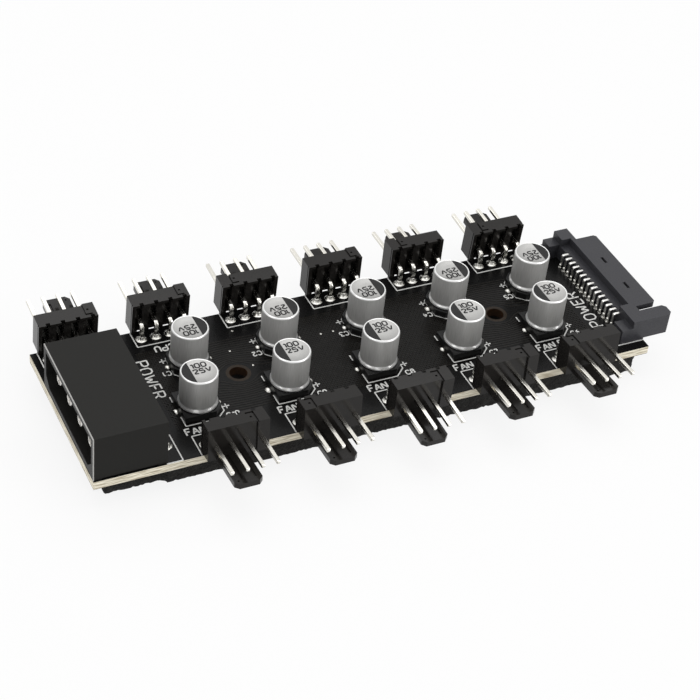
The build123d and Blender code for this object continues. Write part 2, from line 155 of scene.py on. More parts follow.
# Foam pad: a slab of soft black open-cell foam glued under the board. It is cut with a knife, so its edges
# are rough with open cells and small tears.
def new_finish(name, colour, roughness, metallic=0.0, gloss=0.2):
    """A material with its node tree, its shader and its Object coordinates."""
    finish = bpy.data.materials.new(name)
    finish.use_nodes = True
    tree = finish.node_tree
    shader = tree.nodes["Principled BSDF"]
    shader.inputs["Base Color"].default_value = (*colour, 1)
    shader.inputs["Roughness"].default_value = roughness
    shader.inputs["Metallic"].default_value = metallic
    shader.inputs["Specular IOR Level"].default_value = gloss
    place = add_node(tree, "ShaderNodeTexCoord").outputs["Object"]
    return finish, tree, shader, place


def grain(tree, place, size, detail=3.0, stretch=(1, 1, 1)):
    """Noise whose grains are about the given size, longer along the axes with a stretch above 1."""
    scale = [1 / (size * s) for s in stretch]
    mapping = add_node(tree, "ShaderNodeMapping", {"Vector": place, "Scale": scale})
    return add_node(
        tree,
        "ShaderNodeTexNoise",
        {"Vector": mapping.outputs[0], "Scale": 1.0, "Detail": detail},
    ).outputs["Fac"]


def between(tree, share, low, high):
    """A value from low to high, or a colour from one to the other, by a share from 0 to 1."""
    if isinstance(low, float):
        ranged = add_node(tree, "ShaderNodeMapRange", {"Value": share, "To Min": low, "To Max": high})
        return ranged.outputs[0]
    first, last = ((*end, 1) if isinstance(end, tuple) else end for end in (low, high))
    return add_node(tree, "ShaderNodeMix", {0: share, 6: first, 7: last}, data_type="RGBA").outputs[2]


def dent(tree, shader, height, depth, strength=1.0):
    """Bump of the given depth on a shader."""
    bump = add_node(tree, "ShaderNodeBump", {"Height": height, "Distance": depth, "Strength": strength})
    tree.links.new(bump.outputs[0], shader.inputs["Normal"])


def merged_copy(node):
    """A CAD node's mesh with its loose triangles joined and its flat faces made whole."""
    source = bmesh.new()
    source.from_mesh(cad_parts[node].data)
    bmesh.ops.remove_doubles(source, verts=source.verts, dist=0.0005 * mm)
    bmesh.ops.dissolve_limit(
        source, angle_limit=math.radians(0.3), verts=source.verts, edges=source.edges
    )
    mesh = bpy.data.meshes.new(node + "_copy")
    source.to_mesh(mesh)
    source.free()
    return mesh


def finished_mesh(mesh, *modifiers):
    """The mesh that modifiers, each a kind and its settings, make from a mesh."""
    holder = bpy.data.objects.new("holder", mesh)
    bpy.context.scene.collection.objects.link(holder)
    for kind, settings in modifiers:
        modifier = holder.modifiers.new(kind, kind)
        for name, value in settings.items():
            setattr(modifier, name, value)
    result = bpy.data.meshes.new_from_object(
        holder.evaluated_get(bpy.context.evaluated_depsgraph_get())
    )
    bpy.data.objects.remove(holder)
    return result


def add_piece(name, mesh, finish, slot, *stands_for):
    """A piece of the hub with its finish, standing for the CAD nodes named."""
    mesh.materials.clear()
    mesh.materials.append(finish)
    piece = bpy.data.objects.new(name, mesh)
    bpy.context.scene.collection.objects.link(piece)
    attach(piece, "root")
    if stands_for:
        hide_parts(*stands_for)
    return piece


foam_black, foam_tree, foam_shader, foam_place = new_finish("foam_black", (0.012, 0.012, 0.012), 0.85)
foam_cell = 0.35 * mm
foam_cells = add_node(
    foam_tree, "ShaderNodeTexVoronoi", {"Vector": foam_place, "Scale": 1 / foam_cell}
).outputs["Distance"]
foam_shade = between(foam_tree, foam_cells, (0.005, 0.005, 0.005), (0.027, 0.026, 0.024))
foam_tree.links.new(foam_shade, foam_shader.inputs["Base Color"])
dent(foam_tree, foam_shader, foam_cells, 0.12 * mm)

foam_voxel = 0.4 * mm
foam_top = 4.0 * mm
foam_tear = 0.22 * mm
broad_tears, fine_tears, torn_cells = 0.9, 2.7, 1.6
foam_mesh = finished_mesh(
    merged_copy("foam_pad"), ("REMESH", {"mode": "VOXEL", "voxel_size": foam_voxel})
)
outward = [vertex.normal.copy() for vertex in foam_mesh.vertices]
for vertex, normal in zip(foam_mesh.vertices, outward):
    point = vertex.co / mm
    tear = 0.7 * noise.noise(point * broad_tears) + 0.5 * noise.noise(point * fine_tears)
    cell = noise.voronoi(point * torn_cells)[0][0]
    moved = vertex.co + normal * foam_tear * (tear - 0.6 + cell)
    vertex.co = (moved.x, moved.y, min(max(moved.z, 0), foam_top))
foam_mesh.shade_smooth()
foam = add_piece("foam_slab", foam_mesh, foam_black, "pad_foam", "foam_pad")


# Circuit board: glass-fibre laminate under a glossy black solder mask. The sawn edges show the bare cream
# laminate with its glass layers. A bare brown ring lies round each of the two screw holes, and the hole walls
# are brown laminate painted dark as painted shade inside the holes.
board_level = 5.6
board_side = 16.0
board_under = 4.0 * mm
board_top = board_level * mm
mask_skin = 0.05 * mm
hole_places = [(-19.65, 0.55), (28.85, 0.55)]
hole_reach = 1.52 * mm
bare_reach = 2.1 * mm
board_finish, board_tree, board_shader, board_place = new_finish(
    "board_finish", (0.02, 0.02, 0.02), 0.3, gloss=0.1
)
board_axes = add_node(board_tree, "ShaderNodeSeparateXYZ", {0: board_place}).outputs
off_middle = maths(
    board_tree, "ABSOLUTE", maths(board_tree, "SUBTRACT", board_axes["Z"], (board_under + board_top) / 2)
)
masked = maths(board_tree, "GREATER_THAN", off_middle, (board_top - board_under) / 2 - mask_skin)
flat_place = add_node(board_tree, "ShaderNodeCombineXYZ", {0: board_axes["X"], 1: board_axes["Y"]}).outputs[0]
from_holes = [
    add_node(
        board_tree,
        "ShaderNodeVectorMath",
        {0: flat_place, 1: (x * mm, y * mm, 0)},
        operation="DISTANCE",
    ).outputs["Value"]
    for x, y in hole_places
]
from_hole = maths(board_tree, "MINIMUM", *from_holes)
in_hole = maths(board_tree, "LESS_THAN", from_hole, hole_reach)
round_hole = maths(board_tree, "LESS_THAN", from_hole, bare_reach)
glass_layers = grain(board_tree, board_place, 0.2 * mm, 2.0, (16, 16, 1))
layered = add_node(
    board_tree, "ShaderNodeMapRange", {"Value": glass_layers, "From Min": 0.36, "From Max": 0.6}
).outputs[0]
laminate = between(board_tree, layered, (0.44, 0.38, 0.27), (0.90, 0.85, 0.71))
mask_weave = grain(board_tree, board_place, 0.25 * mm)
mask_black = between(board_tree, mask_weave, (0.003, 0.003, 0.003), (0.009, 0.009, 0.009))
brown_grain = grain(board_tree, board_place, 0.8 * mm)
bare_ring = between(board_tree, brown_grain, (0.012, 0.009, 0.006), (0.045, 0.032, 0.022))
# Painted shade: the hole walls are brown laminate painted dark brown to near black, far darker than the sawn
# edges, for the shade inside the holes.
shaded_hole_wall = between(board_tree, brown_grain, (0.006, 0.004, 0.003), (0.055, 0.024, 0.009))
ringed = between(board_tree, round_hole, mask_black, bare_ring)
outside = between(board_tree, masked, laminate, ringed)
board_colour = between(board_tree, in_hole, outside, shaded_hole_wall)
board_tree.links.new(board_colour, board_shader.inputs["Base Color"])
board_tree.links.new(between(board_tree, masked, 0.65, 0.22), board_shader.inputs["Roughness"])
dent(board_tree, board_shader, mask_weave, 0.02 * mm, 0.5)
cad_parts["circuit_board"].data.materials.clear()
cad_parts["circuit_board"].data.materials.append(board_finish)


# Copper under the mask: the solder mask shows the copper below it as low relief. The middle of the board is
# filled with a diamond hatch, and bundles of tracks bend round both screw holes.
def new_tree(name, inputs, output):
    """A geometry tree with named inputs of the kinds given and one output, and the sockets of its inputs."""
    tree = bpy.data.node_groups.new(name, "GeometryNodeTree")
    for socket, kind in inputs.items():
        tree.interface.new_socket(socket, in_out="INPUT", socket_type="NodeSocket" + kind)
    tree.interface.new_socket(output, in_out="OUTPUT", socket_type="NodeSocketGeometry")
    return tree, add_node(tree, "NodeGroupInput").outputs


def stroke_tree():
    """Geometry nodes that turn lines lying on the board into flat-topped strips with soft corners."""
    sizes = dict.fromkeys(("Strip Width", "Strip Height", "Corner Radius"), "Float")
    tree, given = new_tree("flat_strips", {"Lines": "Geometry", **sizes, "Finish": "Material"}, "Strips")
    line = add_node(tree, "GeometryNodeMeshToCurve", {"Mesh": given["Lines"]})
    level = add_node(tree, "GeometryNodeSetCurveNormal", {"Curve": line.outputs[0]}, mode="Z_UP")
    corner = add_node(
        tree,
        "GeometryNodeFilletCurve",
        {"Curve": level.outputs[0], "Radius": given["Corner Radius"], "Limit Radius": True, "Count": 3},
        mode="POLY",
    )
    section = add_node(
        tree,
        "GeometryNodeCurvePrimitiveQuadrilateral",
        {"Width": given["Strip Width"], "Height": given["Strip Height"]},
    )
    strip = add_node(
        tree,
        "GeometryNodeCurveToMesh",
        {"Curve": corner.outputs[0], "Profile Curve": section.outputs[0], "Fill Caps": True},
    )
    real = add_node(tree, "GeometryNodeRealizeInstances", {"Geometry": strip.outputs[0]})
    painted = add_node(
        tree, "GeometryNodeSetMaterial", {"Geometry": real.outputs[0], "Material": given["Finish"]}
    )
    flat = add_node(
        tree, "GeometryNodeSetShadeSmooth", {"Geometry": painted.outputs[0], "Shade Smooth": False}
    )
    add_node(tree, "NodeGroupOutput", {0: flat.outputs[0]})
    return tree


flat_strips = stroke_tree()


def grown_mesh(name, tree, guide_mesh, values):
    """The plain mesh that a geometry tree makes from a guide mesh with the values given for its inputs."""
    guide = bpy.data.objects.new("guide", guide_mesh)
    bpy.context.scene.collection.objects.link(guide)
    modifier = guide.modifiers.new("growth", "NODES")
    modifier.node_group = tree
    for item in tree.interface.items_tree:
        if item.name in values:
            modifier[item.identifier] = values[item.name]
    mesh = bpy.data.meshes.new_from_object(
        guide.evaluated_get(bpy.context.evaluated_depsgraph_get())
    )
    mesh.name = name
    bpy.data.objects.remove(guide)
    return mesh


def strips(name, lines, level, width, height, corner, finish):
    """One mesh of strips along lines of (x, y) places in millimetres, all at one level over the floor."""
    points, edges = [], []
    for line in lines:
        closed = len(line) > 2 and line[0] == line[-1]
        first = len(points)
        places = line[:-1] if closed else line
        points += [(x * mm, y * mm, level) for x, y in places]
        edges += [(first + i, first + i + 1) for i in range(len(places) - 1)]
        if closed:
            edges.append((first + len(places) - 1, first))
    guide_mesh = bpy.data.meshes.new("guide_lines")
    guide_mesh.from_pydata(points, edges, [])
    values = {"Strip Width": width, "Strip Height": height, "Corner Radius": corner, "Finish": finish}
    return grown_mesh(name, flat_strips, guide_mesh, values)


copper_and_highlight, copper_tree, copper_shader, copper_place = new_finish(
    "copper_and_highlight", (0.03, 0.03, 0.03), 0.24, gloss=0.1
)
copper_patches = grain(copper_tree, copper_place, 1.1 * mm)
# Painted highlight: the relief strips are painted lighter than the mask, partly for the copper showing
# through and partly as the highlights along their ridges.
copper_tree.links.new(
    between(copper_tree, copper_patches, (0.005, 0.0045, 0.004), (0.024, 0.022, 0.019)),
    copper_shader.inputs["Base Color"],
)
dent(copper_tree, copper_shader, grain(copper_tree, copper_place, 0.15 * mm), 0.02 * mm)
copper_height = 0.04 * mm
copper_width = 0.22 * mm
relief = []
hatch_pitch = 0.72
hatch_slope = 1.25
hatch_low, hatch_high = -9.4, 10.6
hatch_fields = ((-34.0, -30.2), (-10.2, 19.4), (38.2, 42.8))
hatch_run = (hatch_high - hatch_low) / hatch_slope
for left, right in hatch_fields:
    for i in range(int((right - left + hatch_run) / hatch_pitch)):
        start = left - hatch_run + i * hatch_pitch
        ends = (max(start, left), min(start + hatch_run, right))
        rises = [(x, (x - start) * hatch_slope) for x in ends]
        relief.append([(x, hatch_low + rise) for x, rise in rises])
        relief.append([(x, hatch_high - rise) for x, rise in rises])
track_pitch = 0.6
track_reach = 10.0
track_steps = 20
tracks_a_side = 13
hole_ring = 2.5
settling_passes = 12
for hole_x, hole_y in hole_places:
    for side in (-1, 1):
        for k in range(1, tracks_a_side + 1):
            track = []
            for step in range(-track_steps, track_steps + 1):
                x = step * track_reach / track_steps
                # The track bends as a stream does round a post, and a few passes settle its height.
                y = k * track_pitch
                for _ in range(settling_passes):
                    y = k * track_pitch + hole_ring * hole_ring * y / (x * x + y * y)
                track.append((hole_x + x, hole_y + side * y))
            relief.append(track)
relief_mesh = strips(
    "copper_relief", relief, board_top, copper_width, 2 * copper_height, 0.0, copper_and_highlight
)
add_piece("copper_relief", relief_mesh, copper_and_highlight, "board_mask")


# White print: the legends, part outlines and plus signs are screen printed in thin white ink on the
# hardened mask, before any part is soldered on. Each letter is a few strokes of one width.
ink_white, ink_tree, ink_shader, ink_place = new_finish("ink_white", (0.8, 0.8, 0.78), 0.45)
ink_patches = grain(ink_tree, ink_place, 0.12 * mm)
ink_tree.links.new(
    between(ink_tree, ink_patches, (0.62, 0.62, 0.60), (0.86, 0.86, 0.84)), ink_shader.inputs["Base Color"]
)
dent(ink_tree, ink_shader, ink_patches, 0.01 * mm)
letters = {
    "P": [[(0, 0), (0, 1), (0.5, 1), (0.66, 0.87), (0.66, 0.6), (0.5, 0.46), (0, 0.46)]],
    "O": [[(0.2, 0), (0, 0.22), (0, 0.78), (0.2, 1), (0.5, 1), (0.7, 0.78), (0.7, 0.22), (0.5, 0), (0.2, 0)]],
    "W": [[(0, 1), (0.2, 0), (0.43, 0.75), (0.66, 0), (0.86, 1)]],
    "E": [[(0.6, 0), (0, 0), (0, 1), (0.6, 1)], [(0, 0.52), (0.5, 0.52)]],
    "R": [
        [(0, 0), (0, 1), (0.5, 1), (0.66, 0.87), (0.66, 0.62), (0.5, 0.48), (0, 0.48)],
        [(0.36, 0.48), (0.68, 0)],
    ],
    "F": [[(0, 0), (0, 1), (0.6, 1)], [(0, 0.52), (0.48, 0.52)]],
    "A": [[(0, 0), (0.35, 1), (0.7, 0)], [(0.12, 0.32), (0.58, 0.32)]],
    "N": [[(0, 0), (0, 1), (0.66, 0), (0.66, 1)]],
    "C": [[(0.66, 0.82), (0.5, 1), (0.2, 1), (0, 0.78), (0, 0.22), (0.2, 0), (0.5, 0), (0.66, 0.18)]],
    "U": [[(0, 1), (0, 0.2), (0.18, 0), (0.48, 0), (0.66, 0.2), (0.66, 1)]],
    "V": [[(0, 1), (0.33, 0), (0.66, 1)]],
    "+": [[(0, 0.5), (0.8, 0.5)], [(0.4, 0.1), (0.4, 0.9)]],
    "0": [[
        (0.15, 0), (0, 0.18), (0, 0.82), (0.15, 1), (0.45, 1),
        (0.6, 0.82), (0.6, 0.18), (0.45, 0), (0.15, 0),
    ]],
    "1": [[(0.1, 0.8), (0.34, 1), (0.34, 0)]],
    "2": [[(0, 0.8), (0.16, 1), (0.45, 1), (0.6, 0.84), (0.6, 0.64), (0, 0), (0.62, 0)]],
    "3": [[
        (0, 1), (0.6, 1), (0.28, 0.6), (0.48, 0.58), (0.6, 0.42),
        (0.6, 0.16), (0.45, 0), (0.14, 0), (0, 0.14),
    ]],
    "4": [[(0.46, 0), (0.46, 1), (0, 0.3), (0.64, 0.3)]],
    "5": [[(0.58, 1), (0.04, 1), (0, 0.54), (0.44, 0.58), (0.6, 0.42), (0.6, 0.16), (0.45, 0), (0, 0)]],
    "6": [[
        (0.5, 1), (0.14, 0.7), (0, 0.3), (0.14, 0), (0.45, 0),
        (0.6, 0.16), (0.6, 0.4), (0.45, 0.54), (0.05, 0.5),
    ]],
    "7": [[(0, 1), (0.6, 1), (0.24, 0)]],
    "8": [
        [
            (0.15, 0.54), (0.02, 0.7), (0.02, 0.86), (0.15, 1), (0.45, 1),
            (0.58, 0.86), (0.58, 0.7), (0.45, 0.54), (0.15, 0.54),
        ],
        [(0.15, 0.54), (0, 0.38), (0, 0.15), (0.15, 0), (0.45, 0), (0.6, 0.15), (0.6, 0.38), (0.45, 0.54)],
    ],
    "9": [[
        (0.1, 0), (0.46, 0.3), (0.6, 0.7), (0.46, 1), (0.15, 1),
        (0, 0.84), (0, 0.6), (0.15, 0.46), (0.55, 0.5),
    ]],
}


def written(words, x, y, height, turn=0.0, wide=1.0, gap=0.26):
    """The lines of some words whose first letter starts at (x, y), turned by some degrees."""
    cosine, sine = math.cos(math.radians(turn)), math.sin(math.radians(turn))
    lines, along = [], 0.0
    for letter in words:
        strokes = letters.get(letter, [])
        for stroke in strokes:
            line = []
            for u, v in stroke:
                reach, rise = (along + u * wide) * height, v * height
                line.append((x + reach * cosine - rise * sine, y + reach * sine + rise * cosine))
            lines.append(line)
        along += max([u for stroke in strokes for u, v in stroke], default=0.2) * wide + gap
    return lines


ink_height = 0.03 * mm
ink_level = board_top + copper_height
ink_corner = 0.1 * mm
header_pitch = 16.1
front_pins = [-31.25 + i * header_pitch for i in range(5)]
back_pins = [-47.85 + i * header_pitch for i in range(6)]
front_cans = [(x + 2.15, -5.1) for x in front_pins]
back_cans = [(x + 5.25, 5.6) for x in back_pins[1:]]
can_rows = ((1, front_cans), (-1, back_cans))
fine_print, bold_print = [], []
print_edge = 15.95
outline_left, outline_right = 1.3, 8.9
for pins, edge, inside in ((front_pins, -print_edge, -11.35), (back_pins, print_edge, 11.95)):
    for left, right in [(x - outline_left, x + outline_right) for x in pins]:
        fine_print.append([(left, edge), (left, inside), (right, inside), (right, edge)])
for number, x in enumerate(front_pins, start=1):
    bold_print += written(f"FAN {number}", x - 1.85, -10.95, 1.45, wide=0.95, gap=0.22)
bold_print += written("CPU", back_pins[1] + 4.6, 11.1, 1.35, turn=180)
can_outline = [
    [(-3.4, -1.4), (-3.4, -3.77), (2.05, -3.77), (3.74, -2.17), (3.74, -0.9)],
    [(3.74, 0.9), (3.74, 2.17), (2.05, 3.65), (-1.5, 3.65)],
    [(-3.4, 2.3), (-3.4, 3.65)],
]
for facing, cans in can_rows:
    shift = 0 if facing > 0 else 0.5
    for i, (x, y) in enumerate(cans):
        for line in can_outline:
            fine_print.append([(x + shift + facing * u, y + facing * v) for u, v in line])
        if facing > 0:
            fine_print += written("+", x + 3.85, y - 2.0, 1.4)
            fine_print += written(f"C{10 - i}", x + 3.75, y - 3.95, 1.0)
        else:
            fine_print += written("+", x - 3.4, y + 2.35, 1.4, turn=180)
            fine_print += written(f"C{i + 1}", x - 3.65, y - 1.0, 1.0, turn=180)
bold_print += written("POWER", -34.9, 8.35, 2.0, turn=-90, gap=0.3)
bold_print += written("POWER", 45.6, -8.4, 2.1, turn=90, gap=0.3)
fine_print.append([(-35.72, -9.8), (-35.72, -print_edge), (-38.4, -print_edge)])
fine_print.append([(45.2, -14.15), (50.2, -14.15)])
for name, lines, width in (("outline_print", fine_print, 0.2), ("legend_print", bold_print, 0.27)):
    print_mesh = strips(name, lines, ink_level, width * mm, 2 * ink_height, ink_corner, ink_white)
    add_piece(name, print_mesh, ink_white, "board_mask")


# Fan headers: moulded glass-filled plastic, glossy on its flat walls, with small rounded edges, two
# grooves and a dimple in the locking tab and moulding marks on top.
def plastic(name, dark, light, roughness, grain_size, grain_depth, gloss=0.2):
    """Moulded plastic: fine grain, uneven gloss and a little uneven colour."""
    finish, tree, shader, place = new_finish(name, dark, roughness, gloss=gloss)
    fine = grain(tree, place, grain_size, 4.0)
    broad = grain(tree, place, 12 * grain_size, 2.0)
    tree.links.new(between(tree, fine, dark, light), shader.inputs["Base Color"])
    tree.links.new(between(tree, broad, roughness * 0.8, roughness * 1.2), shader.inputs["Roughness"])
    dent(tree, shader, fine, grain_depth)
    return finish


def soft_edges(width, segments=2):
    """Bevel settings that round the sharp edges of a moulded or stamped piece."""
    return "BEVEL", {
        "width": width,
        "segments": segments,
        "limit_method": "ANGLE",
        "angle_limit": math.radians(35),
    }


def header_seat(x, y, turn, tilt):
    """The place of a fan header: the board's top edge, facing away from the board, tips up by its tilt."""
    face = Matrix.Rotation(math.radians(turn), 4, "Z") @ Matrix.Rotation(math.radians(tilt), 4, "X")
    return Matrix.Translation(Vector((x, y, board_level)) * mm) @ face


def cutter_mesh(boxes):
    """One mesh of separate boxes, each given by its lowest and highest corners in millimetres."""
    shape = bmesh.new()
    for low, high in boxes:
        middle = (Vector(low) + Vector(high)) / 2 * mm
        spread = (Vector(high) - Vector(low)) * mm
        place = Matrix.Translation(middle) @ Matrix.Diagonal((*spread, 1))
        bmesh.ops.create_cube(shape, size=1, matrix=place)
    mesh = bpy.data.meshes.new("cutter")
    shape.to_mesh(mesh)
    shape.free()
    return mesh


header_black = plastic(
    "header_black", (0.008, 0.0072, 0.0066), (0.021, 0.0192, 0.0176), 0.16, 0.12 * mm, 0.004 * mm, gloss=0.19
)
header_half = 3.81
tab_groove_low = 1.2
front_tilts = (3.9, 3.0, -2.1, 2.6, 3.5)
back_tilts = (5.9, 4.8, 4.2, 0.6, 0.0, 4.0)
# The moulding step on top lies near the first pin on some headers and near the last on the others.
step_places = [3.08 * side for side in (-1, 1, -1, -1, 1, 1, 1, -1, 1, -1, -1)]
header_seats = [header_seat(x + header_half, -board_side, 180, t) for x, t in zip(front_pins, front_tilts)]
header_seats += [header_seat(x + header_half, board_side, 0, t) for x, t in zip(back_pins, back_tilts)]
for number, (seat, step) in enumerate(zip(header_seats, step_places), start=1):
    marks = [
        ((1.9, 2.7, tab_groove_low), (2.3, 9.0, 2.5)),
        ((-0.25, 2.7, tab_groove_low), (0.15, 9.0, 2.5)),
        ((2.7, 9.05, tab_groove_low), (3.0, 9.35, 2.5)),
        ((step - 0.17, -0.1, 6.3), (step + 0.17, 2.7, 7.0)),
        ((step - 0.1, -0.1, 6.3), (step + 1.25, 0.22, 7.0)),
        ((step + 0.5, 0.95, 6.35), (step + 0.86, 1.31, 7.0)),
    ]
    cutter = bpy.data.objects.new("cutter", cutter_mesh(marks))
    cutter.data.transform(seat)
    bpy.context.scene.collection.objects.link(cutter)
    header_mesh = finished_mesh(
        merged_copy(f"fan_header_{number}"),
        ("BOOLEAN", {"object": cutter, "operation": "DIFFERENCE", "solver": "EXACT", "use_self": True}),
        soft_edges(0.09 * mm),
    )
    bpy.data.objects.remove(cutter)
    add_piece(
        f"fan_header_body_{number}", header_mesh, header_black, "header_plastic", f"fan_header_{number}"
    )


# Fan header pins: square brass wire with a bright tin plate, pressed through the body and bent down into
# the board.
def metal(name, colour, roughness, mark_size, mark_depth, stretch=(1, 1, 1)):
    """Plated metal with faint drawing marks and uneven polish."""
    finish, tree, shader, place = new_finish(name, colour, roughness, 1.0)
    marks = grain(tree, place, mark_size, 3.0, stretch)
    stained = tuple(channel * 0.82 for channel in colour)
    tree.links.new(between(tree, marks, stained, colour), shader.inputs["Base Color"])
    tree.links.new(between(tree, marks, roughness * 0.7, roughness * 1.4), shader.inputs["Roughness"])
    dent(tree, shader, marks, mark_depth)
    return finish


pin_tin = metal("pin_tin", (0.80, 0.78, 0.72), 0.2, 0.1 * mm, 0.003 * mm, (1, 8, 1))
for number in range(1, len(header_seats) + 1):
    pins_mesh = finished_mesh(merged_copy(f"fan_pins_{number}"), soft_edges(0.07 * mm))
    add_piece(f"fan_header_wires_{number}", pins_mesh, pin_tin, "pin_metal", f"fan_pins_{number}")


# Solder: each pin's hole is filled with a concave cone of shiny solder, and small fillets hold the
# capacitor leads and the plug contacts. Five small vias by the hatch are capped with it too.
def placing_tree():
    """Geometry nodes that put a turned and slightly resized copy of one shape on every point."""
    inputs = {
        "Places": "Geometry",
        "Shape": "Object",
        "Size Spread": "Float",
        "Seed": "Int",
        "Finish": "Material",
    }
    tree, given = new_tree("copies_on_points", inputs, "Copies")
    shape = add_node(tree, "GeometryNodeObjectInfo", {"Object": given["Shape"]})
    turned = add_node(
        tree,
        "FunctionNodeRandomValue",
        {"Min": (0, 0, 0), "Max": (0, 0, math.tau), "Seed": given["Seed"]},
        data_type="FLOAT_VECTOR",
    )
    smaller = maths(tree, "SUBTRACT", 1.0, given["Size Spread"])
    larger = maths(tree, "ADD", 1.0, given["Size Spread"])
    sized = add_node(
        tree,
        "FunctionNodeRandomValue",
        {2: smaller, 3: larger, "Seed": given["Seed"]},
        data_type="FLOAT",
    )
    placed = add_node(
        tree,
        "GeometryNodeInstanceOnPoints",
        {
            "Points": given["Places"],
            "Instance": shape.outputs["Geometry"],
            "Rotation": turned.outputs[0],
            "Scale": sized.outputs[1],
        },
    )
    real = add_node(tree, "GeometryNodeRealizeInstances", {"Geometry": placed.outputs[0]})
    painted = add_node(
        tree, "GeometryNodeSetMaterial", {"Geometry": real.outputs[0], "Material": given["Finish"]}
    )
    add_node(tree, "NodeGroupOutput", {0: painted.outputs[0]})
    return tree


copies_on_points = placing_tree()


def turned_mesh(name, profile, steps):
    """A round shape turned from a profile of (radius, height) places in millimetres."""
    shape = bmesh.new()
    rings = []
    for radius, height in profile:
        angles = [math.tau * i / steps for i in range(1 if radius == 0 else steps)]
        ring = [(radius * mm * math.cos(a), radius * mm * math.sin(a), height * mm) for a in angles]
        rings.append([shape.verts.new(point) for point in ring])
    for lower, upper in zip(rings, rings[1:]):
        for i in range(steps):
            j = (i + 1) % steps
            corners = [lower[n % len(lower)] for n in (i, j)] + [upper[n % len(upper)] for n in (j, i)]
            kept = [v for n, v in enumerate(corners) if v not in corners[:n]]
            if len(kept) > 2:
                shape.faces.new(kept)
    bmesh.ops.recalc_face_normals(shape, faces=shape.faces)
    mesh = bpy.data.meshes.new(name)
    shape.to_mesh(mesh)
    shape.free()
    mesh.shade_smooth()
    return mesh


def copies(name, shape_mesh, places, finish, seed, spread):
    """Copies of a shape on a list of places in millimetres, as one mesh."""
    shape = bpy.data.objects.new("shape", shape_mesh)
    bpy.context.scene.collection.objects.link(shape)
    points = bpy.data.meshes.new("places")
    points.from_pydata([Vector(place) * mm for place in places], [], [])
    values = {"Shape": shape, "Size Spread": spread, "Seed": seed, "Finish": finish}
    mesh = grown_mesh(name, copies_on_points, points, values)
    bpy.data.objects.remove(shape)
    return mesh


solder_tin = metal("solder_tin", (0.66, 0.65, 0.61), 0.24, 0.25 * mm, 0.03 * mm)
pin_pitch = 2.54
foot_line = 13.8
joint_spots = [(x + i * pin_pitch, -foot_line) for x in front_pins for i in range(4)]
joint_spots += [(x + i * pin_pitch, foot_line) for x in back_pins for i in range(4)]
joint_spots.append((-37.05, -12.1))
joint_profile = [
    (0, 0), (0.97, 0), (0.97, 0.05), (0.85, 0.09), (0.66, 0.2),
    (0.53, 0.38), (0.47, 0.62), (0.4, 0.74), (0, 0.78),
]
lead_reach = 3.6
lead_spots = [(x + side * lead_reach, y) for x, y in front_cans + back_cans for side in (-1, 1)]
lead_profile = [(0, 0), (0.62, 0), (0.6, 0.08), (0.5, 0.22), (0.3, 0.32), (0, 0.36)]
contact_count = 15
contact_pitch = 1.27
contact_line = 46.9
contact_spots = [(contact_line, (i - contact_count // 2) * contact_pitch) for i in range(contact_count)]
contact_profile = [
    (0, 0), (0.52, 0), (0.5, 0.08), (0.4, 0.22), (0.32, 0.46), (0.3, 0.7), (0.2, 0.82), (0, 0.86),
]
via_spots = [(-0.2, 5.4), (-2.5, 5.4), (-16.6, 1.6), (-18.9, 6.2), (-16.5, 11.0)]
via_profile = [(0, 0), (0.2, 0), (0.18, 0.05), (0.1, 0.07), (0, 0.06)]
for name, profile, steps, spots, seed, spread, *stands_for in (
    ("pin_joints", joint_profile, 24, joint_spots, 4, 0.05, "solder_joints"),
    ("lead_joints", lead_profile, 16, lead_spots, 9, 0.15),
    ("contact_joints", contact_profile, 14, contact_spots, 2, 0.2),
    ("via_caps", via_profile, 14, via_spots, 3, 0.1),
):
    places = [(x, y, board_level) for x, y in spots]
    joint_mesh = copies(name, turned_mesh(name + "_shape", profile, steps), places, solder_tin, seed, spread)
    add_piece(name, joint_mesh, solder_tin, "solder", *stands_for)


# Capacitors: drawn aluminium cans rolled in above a black base, with a polished bead at the foot, a bright
# rim and a grained top that carries a dark segment and the rating. Each base holds two flat leads.
can_metal, can_tree, can_shader, can_place = new_finish("can_aluminium", (0.7, 0.7, 0.7), 0.4, 1.0)
# On a can's UV map, right is the way round it, and up is its height in centimetres and then inwards.
around = add_node(can_tree, "ShaderNodeUVMap", uv_map="UVMap").outputs[0]
rise = add_node(can_tree, "ShaderNodeSeparateXYZ", {0: around}).outputs["Y"]
can_foot, can_rim_low, can_rim_high = 0.215, 0.742, 0.796
on_top = maths(can_tree, "GREATER_THAN", rise, can_rim_high)
on_wall = maths(
    can_tree,
    "MULTIPLY",
    maths(can_tree, "GREATER_THAN", rise, can_foot),
    maths(can_tree, "LESS_THAN", rise, can_rim_low),
)
drawn = grain(can_tree, around, 0.003, 3.0, (1, 90, 1))
speckle = grain(can_tree, can_place, 0.09 * mm, 2.0)
wall_grey = between(can_tree, drawn, (0.30, 0.298, 0.29), (0.62, 0.615, 0.60))
top_grey = between(can_tree, speckle, (0.28, 0.278, 0.27), (0.60, 0.595, 0.58))
polished = between(can_tree, on_wall, (0.82, 0.82, 0.81), wall_grey)
can_tree.links.new(between(can_tree, on_top, polished, top_grey), can_shader.inputs["Base Color"])
dull = maths(can_tree, "MAXIMUM", on_top, on_wall)
can_tree.links.new(between(can_tree, dull, 0.6, 0.42), can_shader.inputs["Metallic"])
can_tree.links.new(between(can_tree, dull, 0.3, 0.42), can_shader.inputs["Roughness"])
dent(can_tree, can_shader, maths(can_tree, "MULTIPLY", speckle, dull), 0.003 * mm)
can_radius, can_shoulder, can_face = 3.15, 7.5, 7.62
